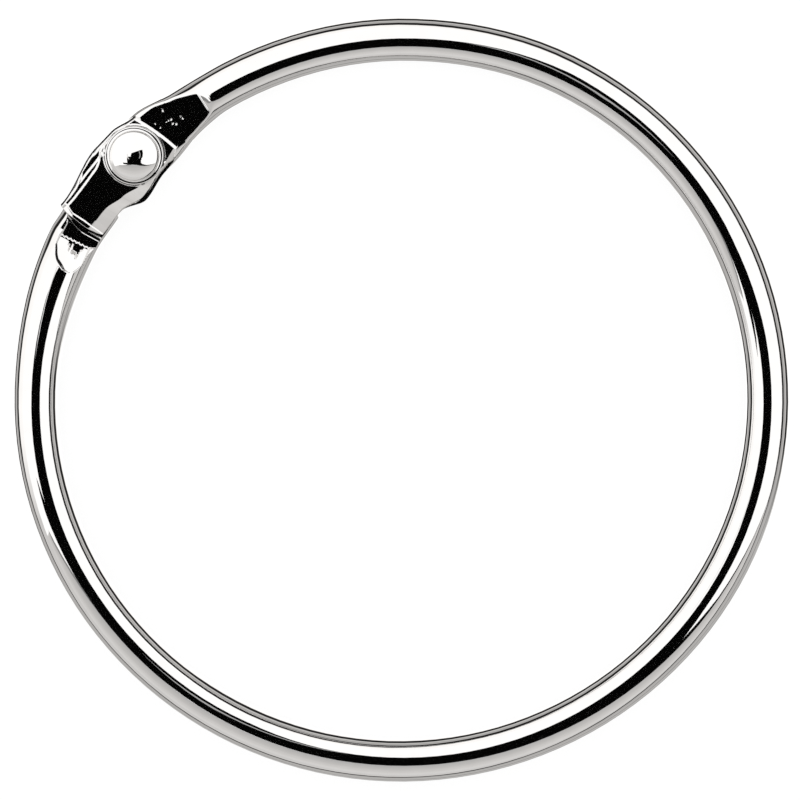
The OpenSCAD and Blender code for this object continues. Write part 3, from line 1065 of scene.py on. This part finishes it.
@dataclass
class DomeRivet:
    """Dome-headed rivet: headed tail, shank, thin flange and low dome, turned as one profile.

    Attributes:
        clasp: Place of the rivet.
        shank_r: Radius of the shank.
        flange_r: Radius of the flange.
        flange_t: Thickness of the flange.
        flange_z: Height of its underside.
        flange_edge: Radius of its upper edge.
        foot_width: Width of the hollow curve between flange and head.
        foot_height: Height of that curve.
        head_r: Radius of the head.
        head_side: Height of its upright side over the flange.
        head_edge: Radius of its edge.
        dome_r: Radius of the sphere that the dome is part of.
        tail_r: Radius of the tail.
        tail_t: Thickness of the tail.
        tail_top: Height at which the tail bears on the eye's back.
        curve_points: Points of the tail, the flange's lower and upper edge, the foot, the head's
            edge and the dome.
        steps: Steps round the axis.
    """

    clasp: Clasp
    shank_r: float = 0.9
    flange_r: float = 2.14
    flange_t: float = 0.24
    flange_z: float = 3.53
    flange_edge: float = 0.12
    foot_width: float = 0.2
    foot_height: float = 0.11
    head_r: float = 1.81
    head_side: float = 0.12
    head_edge: float = 0.22
    dome_r: float = 2.7
    tail_r: float = 1.45
    tail_t: float = 0.42
    tail_top: float = 0.55
    curve_points: tuple[int, int, int, int, int, int] = (20, 10, 12, 16, 16, 64)
    steps: int = 256

    def profile(self) -> Array:
        """Return the profile (radius, z) from the middle of the tail up to the dome's top.

        The tail and the dome are caps of spheres, the foot is a quarter of an ellipse, and the
        edges are arcs of circles.

        Returns:
            The points, shaped (count, 2).
        """
        tails, unders, overs, feet, heads, domes = self.curve_points
        cap = (self.tail_r ** 2 + self.tail_t ** 2) / (2.0 * self.tail_t)
        spread = math.degrees(math.asin(self.tail_r / cap))
        tail = arc_points(0.0, self.tail_top - self.tail_t + cap, cap, -90.0, -90.0 + spread, tails)
        shank = np.array([[self.shank_r, self.tail_top], [self.shank_r, self.flange_z]])
        half, soft, top = self.flange_t / 2.0, self.flange_edge, self.flange_z + self.flange_t
        under = arc_points(self.flange_r - half, self.flange_z + half, half, -90.0, 0.0, unders)
        over = arc_points(self.flange_r - soft, top - soft, soft, 0.0, 90.0, overs)
        foot = arc_points(0.0, 0.0, 1.0, -90.0, -180.0, feet) + 1.0
        foot = np.array([self.head_r, top]) + foot * np.array([self.foot_width, self.foot_height])
        head_z, edge_x = top + self.head_side, self.head_r - self.head_edge
        dome_z = head_z - math.sqrt((self.dome_r - self.head_edge) ** 2 - edge_x ** 2)
        meet = math.degrees(math.acos(edge_x / (self.dome_r - self.head_edge)))
        edge = arc_points(edge_x, head_z, self.head_edge, 0.0, meet, heads)
        dome = arc_points(0.0, dome_z, self.dome_r, meet, 90.0, domes)[1:]
        profile = np.vstack([tail, shank, under, over, foot, edge, dome])
        profile[0, 0] = profile[-1, 0] = 0.0
        return profile

    def build(self, finish: bpy.types.Material) -> bpy.types.Object:
        """Make the rivet as one turned grid, closed at its two poles.

        Args:
            finish: Material of its surface.

        Returns:
            The new object.
        """
        shell = Shell(crisp=38.0)
        grid = turned(self.profile(), self.clasp.rivet, self.steps)
        shell.add_grid(grid[:, ::-1], wrap_rows=True)
        LOG.info("ball rivet: profile of %d points", grid.shape[1])
        return shell.build("ball_rivet_skin", Slot.RIVET, Body.RING, finish)


# ---------------------------------------------------------------------------------------------
# Nodes
# ---------------------------------------------------------------------------------------------


def feed(tree: bpy.types.NodeTree, node: bpy.types.Node, inputs: dict[str | int, object]) -> None:
    """Set a node's inputs, or link them where the value is another node's output.

    Args:
        tree: Node tree that the node is in.
        node: The node.
        inputs: For each input, by name or number, a value or an output.
    """
    for socket, value in inputs.items():
        if isinstance(value, bpy.types.NodeSocket):
            tree.links.new(value, node.inputs[socket])
        else:
            node.inputs[socket].default_value = value


def add(tree: bpy.types.NodeTree, kind: str, inputs: dict[str | int, object] | None = None,
        **settings: object) -> bpy.types.NodeSocket | None:
    """Add a node with its settings and inputs.

    Args:
        tree: Node tree that gets it.
        kind: Its type, without the words ShaderNode.
        inputs: Values and links of its inputs, as in feed().
        settings: The node's own settings.

    Returns:
        The first output that the node's settings leave on, or None where it has none.
    """
    node = tree.nodes.new("ShaderNode" + kind)
    for name, value in settings.items():
        setattr(node, name, value)
    feed(tree, node, inputs or {})
    return next((output for output in node.outputs if output.enabled), None)


def picked(tree: bpy.types.NodeTree, kind: str, output: str) -> bpy.types.NodeSocket:
    """Add a node without inputs and return its output of that name."""
    return tree.nodes.new("ShaderNode" + kind).outputs[output]


def split_up(tree: bpy.types.NodeTree, vector: bpy.types.NodeSocket) -> bpy.types.bpy_prop_collection:
    """Take a vector apart.

    Args:
        tree: Node tree that the vector is in.
        vector: The vector.

    Returns:
        Its outputs X, Y and Z, by name.
    """
    node = tree.nodes.new("ShaderNodeSeparateXYZ")
    feed(tree, node, {"Vector": vector})
    return node.outputs


def noise(tree: bpy.types.NodeTree, place: bpy.types.NodeSocket, scale: float,
          detail: float) -> bpy.types.NodeSocket:
    """Add a noise texture with so many waves per metre and octaves, and return its factor."""
    return add(tree, "TexNoise", {"Vector": place, "Scale": scale, "Detail": detail})


def grey_ramp(tree: bpy.types.NodeTree, level: bpy.types.NodeSocket,
              stops: Sequence[tuple[float, float]]) -> bpy.types.NodeSocket:
    """Add a ramp of greys, slightly warm between its ends.

    Args:
        tree: Node tree that gets it.
        level: Value from 0 to 1 that it is read at.
        stops: Pairs of place and brightness, in rising order.

    Returns:
        The ramp's colour.
    """
    node = tree.nodes.new("ShaderNodeValToRGB")
    elements = node.color_ramp.elements
    for element, (at, grey) in zip(list(elements), (stops[0], stops[-1])):
        element.position, element.color = at, (grey, grey, grey, 1.0)
    for at, grey in stops[1:-1]:
        elements.new(at).color = (*(grey * c for c in WARM), 1.0)
    feed(tree, node, {"Fac": level})
    return node.outputs["Color"]


# ---------------------------------------------------------------------------------------------
# Finishes
# ---------------------------------------------------------------------------------------------


@dataclass(frozen=True)
class Nickel:
    """Bright nickel plate with faint clouds, broad unevenness and fine pits.

    Scales are in waves per metre, and each pattern's second number is its octaves.

    Attributes:
        name: Name of the material.
        colour: Colour of the metal.
        darker: Share of that colour where a cloud is darkest.
        clouds: Pattern of the colour.
        rough: Roughness where it is cleanest.
        dull: Roughness added where it is dullest.
        haze: Pattern of the roughness.
        waves: Strength of the broad unevenness.
        wave_depth: Its depth in metres.
        wave_noise: Its pattern.
        pits: Strength of the fine pits.
        pit_depth: Their depth in metres.
        pit_noise: Their pattern.
    """

    name: str
    colour: tuple[float, float, float] = (0.775, 0.765, 0.755)
    darker: float = 0.93
    clouds: tuple[float, float] = (900.0, 3.0)
    rough: float = 0.018
    dull: float = 0.02
    haze: tuple[float, float] = (2600.0, 4.0)
    waves: float = 0.04
    wave_depth: float = 2e-5
    wave_noise: tuple[float, float] = (700.0, 2.0)
    pits: float = 0.02
    pit_depth: float = 4e-6
    pit_noise: tuple[float, float] = (9000.0, 3.0)

    def make(self) -> bpy.types.Material:
        """Build the material on the object's own coordinates.

        Returns:
            The new material.
        """
        material = bpy.data.materials.new(self.name)
        material.use_nodes = True
        tree = material.node_tree
        place = picked(tree, "TexCoord", "Object")
        tone = add(tree, "Mix", {
            "Factor": noise(tree, place, *self.clouds), "A": (*self.colour, 1.0),
            "B": (*(self.darker * c for c in self.colour), 1.0)}, data_type="RGBA")
        gloss = add(tree, "MapRange", {
            "Value": noise(tree, place, *self.haze), "To Min": self.rough,
            "To Max": self.rough + self.dull})
        broad = add(tree, "Bump", {
            "Height": noise(tree, place, *self.wave_noise), "Strength": self.waves,
            "Distance": self.wave_depth})
        fine = add(tree, "Bump", {
            "Height": noise(tree, place, *self.pit_noise), "Strength": self.pits,
            "Distance": self.pit_depth, "Normal": broad})
        feed(tree, tree.nodes["Principled BSDF"], {
            "Metallic": 1.0, "Base Color": tone, "Roughness": gloss, "Normal": fine})
        return material


# ---------------------------------------------------------------------------------------------
# Studio
# ---------------------------------------------------------------------------------------------


def sheet_object(name: str, corners: Sequence[tuple[float, float]],
                 height: float) -> tuple[bpy.types.Object, bpy.types.NodeTree]:
    """Make a level sheet of the studio, with an empty material.

    Args:
        name: Name of the sheet and its material.
        corners: Corners (x, y), in order round it.
        height: Height over the floor.

    Returns:
        The object, which is no part of the model, and its material's empty node tree.
    """
    mesh = bpy.data.meshes.new(name)
    mesh.from_pydata([(x * MM, y * MM, height * MM) for x, y in corners], [], [range(len(corners))])
    material = bpy.data.materials.new(name)
    material.use_nodes = True
    material.node_tree.nodes.clear()
    mesh.materials.append(material)
    piece = bpy.data.objects.new(name, mesh)
    bpy.context.scene.collection.objects.link(piece)
    return piece, material.node_tree


@dataclass(frozen=True)
class Card:
    """Flat card over the part, seen only in reflections.

    Attributes:
        name: Name of the card.
        height: Height over the floor.
        light: Brightness, where 1 renders as white on the card itself.
        outline: Corners (x, y), in order round it.
        tint: Colour of its light.
        shades: Pairs (y, share of the light) in rising order of y, for a card that isn't even.
        streak_noise: Waves per metre along x and y of the streaks on such a card.
        streak: How much brighter and darker the streaks are, as a share of the light.
    """

    name: str
    height: float
    light: float
    outline: Pairs
    tint: tuple[float, float, float] = (1.0, 1.0, 1.0)
    shades: Stations = ()
    streak_noise: tuple[float, float] = (0.8, 60.0)
    streak: float = 0.14

    def build(self) -> bpy.types.Object:
        """Make the card, hidden from the camera and casting no shadow.

        Returns:
            The new object.
        """
        card, tree = sheet_object(self.name, self.outline, self.height)
        colour, strength = (*self.tint, 1.0), self.light
        if self.shades:
            colour, strength = self.shaded(tree)
        add(tree, "OutputMaterial", {
            "Surface": add(tree, "Emission", {"Color": colour, "Strength": strength})})
        card.visible_camera = False
        card.visible_shadow = False
        return card

    def shaded(self, tree: bpy.types.NodeTree) -> tuple[bpy.types.NodeSocket, bpy.types.NodeSocket]:
        """Shade the card along y, with faint streaks along x.

        Args:
            tree: Node tree of its material.

        Returns:
            The colour and the strength of its light.
        """
        place = picked(tree, "TexCoord", "Object")
        squeezed = add(tree, "VectorMath", {0: place, 1: (*self.streak_noise, 1.0)}, operation="MULTIPLY")
        low, high = self.shades[0][0], self.shades[-1][0]
        level = add(tree, "MapRange", {
            "Value": split_up(tree, place)["Y"], "From Min": low * MM, "From Max": high * MM})
        stops = [((y - low) / (high - low), share) for y, share in self.shades]
        strength = add(tree, "MapRange", {
            "Value": noise(tree, squeezed, scale=1.0, detail=3.0), "To Min": (1.0 - self.streak) * self.light,
            "To Max": (1.0 + self.streak) * self.light})
        return grey_ramp(tree, level, stops), strength


def square_of(half: float) -> Pairs:
    """Return the corners of a square about the origin."""
    return (-half, -half), (half, -half), (half, half), (-half, half)


def ring_arc(centre: tuple[float, float], inner: float, outer: float, start: float, end: float,
             count: int = 12) -> Pairs:
    """Return the outline of an arc of a flat ring.

    Args:
        centre: Middle of the ring.
        inner: Its inner radius.
        outer: Its outer radius.
        start: Angle of the arc's start.
        end: Angle of its end.
        count: Points along each side.

    Returns:
        The outline's corners, in order round it.
    """
    out = arc_points(*centre, outer, start, end, count)
    back = arc_points(*centre, inner, end, start, count)
    return tuple(map(tuple, np.vstack([out, back]).tolist()))


@dataclass
class Studio:
    """Pale floor, bright canopy with dark openings, far surroundings and the camera.

    Attributes:
        canopy_height: Height of the canopy.
        canopy_half: Half its width.
        canopy_light: Its brightness.
        near_height: Height of the nearer cards.
        layer: Height between two cards, so that one covers the other.
        dark: Brightness of an opening.
        opening_tint: Colour of the little light from an opening.
        lens_centre: Middle of the two arcs beside the camera.
        lens_reach: Inner and outer radius of those arcs.
        floor_half: Half the floor's width.
        floor_grey: The floor's brightness under the light.
        floor_veil: Share of the shadows that the camera still sees on the floor.
        floor_glow: Light that the camera sees on it besides.
        tilt: How the surroundings' bands slope along X.
        band_range: Height of a direction at which the bands start and end.
        band_noise: Scale and octaves of the streaks in them.
        band_streaks: How far these shift the bands.
        turn_range: How far a direction turns away from +Y as the room gives way to the table.
        room: Bands (level, brightness) of the room.
        table: Bands of the table's side.
        distance: Distance of the camera from its aim.
        aim_height: Height of its aim over the floor.
        tilt_x: Angle by which it stands off the vertical along X.
        tilt_y: The same along Y.
        roll: Its turn about its own axis.
        lens: Focal length.
        sensor: Width of its sensor.
        shift: Shift of the picture, as a share of its width.
        clip: Nearest and farthest distance that it sees, in metres.
    """

    canopy_height: float = 252.0
    canopy_half: float = 900.0
    canopy_light: float = 1.36
    near_height: float = 140.0
    layer: float = 1.0
    dark: float = 0.001
    opening_tint: tuple[float, float, float] = (1.0, 0.9, 0.85)
    lens_centre: tuple[float, float] = (-25.0, 20.0)
    lens_reach: tuple[float, float] = (46.0, 52.0)
    floor_half: float = 1500.0
    floor_grey: float = 0.8
    floor_veil: float = 0.16
    floor_glow: float = 0.88
    tilt: float = -0.27
    band_range: tuple[float, float] = (-0.95, 1.05)
    band_noise: tuple[float, float] = (4.0, 3.0)
    band_streaks: float = 0.1
    turn_range: tuple[float, float] = (0.25, 0.45)
    room: Stations = (
        (0.0, 1.35), (0.09, 1.35), (0.105, 0.03), (0.22, 0.02), (0.245, 0.8), (0.30, 0.66), (0.32, 0.3),
        (0.34, 0.6), (0.39, 0.5), (0.41, 0.02), (0.525, 0.02), (0.54, 1.30), (1.0, 1.36))
    table: Stations = (
        (0.0, 1.0), (0.05, 0.3), (0.09, 0.55), (0.225, 0.62), (0.24, 0.28), (0.26, 0.3), (0.28, 0.62),
        (0.40, 0.56), (0.455, 0.5), (0.465, 0.04), (0.51, 0.04), (0.52, 0.8), (0.56, 0.8), (1.0, 0.7))
    distance: float = 316.5
    aim_height: float = 1.6
    tilt_x: float = -0.97
    tilt_y: float = 9.55
    roll: float = 0.07
    lens: float = 192.46
    sensor: float = 36.0
    shift: tuple[float, float] = (-0.003375, 0.005375)
    clip: tuple[float, float] = (0.01, 10.0)

    def cards(self) -> list[Card]:
        """Lay out the canopy, the grey ground before it and the dark openings in it.

        Returns:
            The cards, none of them built yet.
        """
        high, near, layer = self.canopy_height, self.near_height, self.layer
        ground = ((-520.0, -520.0), (520.0, -520.0), (520.0, -232.0), (210.0, -122.0), (110.0, -94.0),
                  (40.0, -66.0), (-60.0, -66.0), (-200.0, -112.0), (-520.0, -290.0))
        ground_shades = ((-520.0, 1.16), (-300.0, 1.14), (-200.0, 1.06), (-120.0, 0.92), (-64.0, 0.76))
        sides = ((-121.0, -5.0), (-128.0, -60.0), (-126.0, -112.0), (-60.0, -112.0), (0.0, -70.0),
                 (60.0, -68.0), (82.0, -52.0), (80.0, -26.0), (40.0, -14.0), (-40.0, 0.0))
        core = ((-47.0, 8.0), (-52.0, -10.0), (-54.0, -44.0), (-128.0, -54.0), (-124.0, -68.0),
                (-60.0, -67.0), (-40.0, -63.0), (0.0, -65.0), (40.0, -80.0), (100.0, -100.0),
                (200.0, -127.0), (200.0, -119.0), (100.0, -88.0), (46.0, -60.0), (34.0, -44.0),
                (32.0, -14.0), (46.0, 2.0), (50.0, 32.0), (46.0, 62.0), (24.0, 56.0), (-10.0, 44.0),
                (-40.0, 34.0), (-46.0, 18.0))
        seam_left = ((-56.0, -60.0), (-58.0, -67.0), (-210.0, -124.0), (-210.0, -116.0))
        seam_right = ((198.0, -120.0), (200.0, -127.0), (520.0, -222.0), (520.0, -214.0))
        lens_left = ring_arc(self.lens_centre, *self.lens_reach, start=172.0, end=222.0)
        lens_right = ring_arc(self.lens_centre, *self.lens_reach, start=-32.0, end=34.0)
        return [
            Card("canopy", high, self.canopy_light, square_of(self.canopy_half)),
            Card("side_openings", high - 2.0 * layer, self.dark, sides, self.opening_tint),
            Card("ground_glow", near + layer, light=0.74, outline=ground, shades=ground_shades),
            Card("opening", near, self.dark, core, self.opening_tint),
            Card("lens_left", near - layer, light=0.95, outline=lens_left),
            Card("lens_right", near - layer, light=0.5, outline=lens_right),
            Card("seam_left", near, light=0.3, outline=seam_left),
            Card("seam_right", near, light=0.12, outline=seam_right),
        ]

    def floor(self) -> bpy.types.Object:
        """Make the pale floor, nearly white to the camera with only a faint shadow left.

        Returns:
            The new object.
        """
        floor, tree = sheet_object("floor", square_of(self.floor_half), 0.0)
        matt = add(tree, "BsdfDiffuse", {"Color": (*[self.floor_grey] * 3, 1.0)})
        veil = add(tree, "BsdfDiffuse", {"Color": (*[self.floor_veil] * 3, 1.0)})
        seen = add(tree, "AddShader", {0: veil, 1: add(tree, "Emission", {"Strength": self.floor_glow})})
        add(tree, "OutputMaterial", {"Surface": add(tree, "MixShader", {
            "Fac": picked(tree, "LightPath", "Is Camera Ray"), 1: matt, 2: seen})})
        floor.visible_glossy = False
        return floor

    def surroundings(self) -> bpy.types.World:
        """Make the world, white to the camera and banded in greys where it is reflected.

        A direction's level is its height, tilted along X and shifted by streaks. The room's bands
        give way to the table's where a direction turns away from +Y.

        Returns:
            The new world.
        """
        world = bpy.data.worlds.new("surroundings")
        world.use_nodes = True
        tree = world.node_tree
        tree.nodes.clear()
        place = picked(tree, "TexCoord", "Generated")
        axes = split_up(tree, place)
        tilted = add(tree, "Math", {0: axes["X"], 1: self.tilt, 2: axes["Z"]}, operation="MULTIPLY_ADD")
        streaks = noise(tree, place, *self.band_noise)
        height = add(tree, "Math", {0: streaks, 1: self.band_streaks, 2: tilted}, operation="MULTIPLY_ADD")
        level = add(tree, "MapRange", {
            "Value": height, "From Min": self.band_range[0], "From Max": self.band_range[1]})
        away = add(tree, "Math", {0: axes["Y"], 1: -1.0}, operation="MULTIPLY")
        turned_away = add(tree, "MapRange", {
            "Value": away, "From Min": self.turn_range[0], "From Max": self.turn_range[1]})
        bands = add(tree, "Mix", {
            "Factor": turned_away, "A": grey_ramp(tree, level, self.room),
            "B": grey_ramp(tree, level, self.table)}, data_type="RGBA")
        add(tree, "OutputWorld", {"Surface": add(tree, "MixShader", {
            "Fac": picked(tree, "LightPath", "Is Camera Ray"),
            1: add(tree, "Background", {"Color": bands}), 2: add(tree, "Background")})})
        bpy.context.scene.world = world
        return world

    def camera(self) -> bpy.types.Object:
        """Make the camera, over the part and slightly past its far side.

        Returns:
            The new camera.
        """
        dx, dy = math.sin(math.radians(self.tilt_x)), math.sin(math.radians(self.tilt_y))
        back = Vector((dx, dy, math.sqrt(1.0 - dx * dx - dy * dy)))
        right = Vector((0.0, 1.0, 0.0)).cross(back).normalized()
        over = back.cross(right)
        c, s = math.cos(math.radians(self.roll)), math.sin(math.radians(self.roll))
        turned_axes = Matrix((right * c + over * s, over * c - right * s, back)).transposed()
        lens = bpy.data.cameras.new("camera")
        lens.sensor_fit = "HORIZONTAL"
        lens.sensor_width = self.sensor
        lens.lens = self.lens
        lens.shift_x, lens.shift_y = self.shift
        lens.clip_start, lens.clip_end = self.clip
        camera = bpy.data.objects.new("camera", lens)
        bpy.context.scene.collection.objects.link(camera)
        place = (Vector((0.0, 0.0, self.aim_height)) + back * self.distance) * MM
        camera.matrix_world = Matrix.Translation(place) @ turned_axes.to_4x4()
        bpy.context.scene.camera = camera
        return camera

    def build(self) -> None:
        """Set up everything round the part."""
        self.camera()
        self.floor()
        self.surroundings()
        cards = [card.build() for card in self.cards()]
        bpy.context.scene.view_settings.view_transform = "Standard"
        LOG.info("studio: floor, surroundings, camera and %d cards", len(cards))


# ---------------------------------------------------------------------------------------------
# The part
# ---------------------------------------------------------------------------------------------


def main() -> None:
    """Build the ring's pieces in order, then the studio."""
    logging.basicConfig(level=logging.INFO, format="%(name)s: %(message)s")
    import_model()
    clasp = Clasp()
    wire_finish = Nickel("nickel_wire").make()
    gate_finish = Nickel("nickel_gate", waves=0.06, pits=0.04).make()
    rivet_finish = Nickel("nickel_rivet", colour=(0.785, 0.775, 0.765), waves=0.02).make()
    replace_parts(RingWire(clasp).build(wire_finish), "ring_wire")
    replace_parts(Gate(clasp).build(gate_finish), "gate")
    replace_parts(DomeRivet(clasp).build(rivet_finish), "ball_rivet")
    Studio().build()


if __name__ == "__main__":
    main()
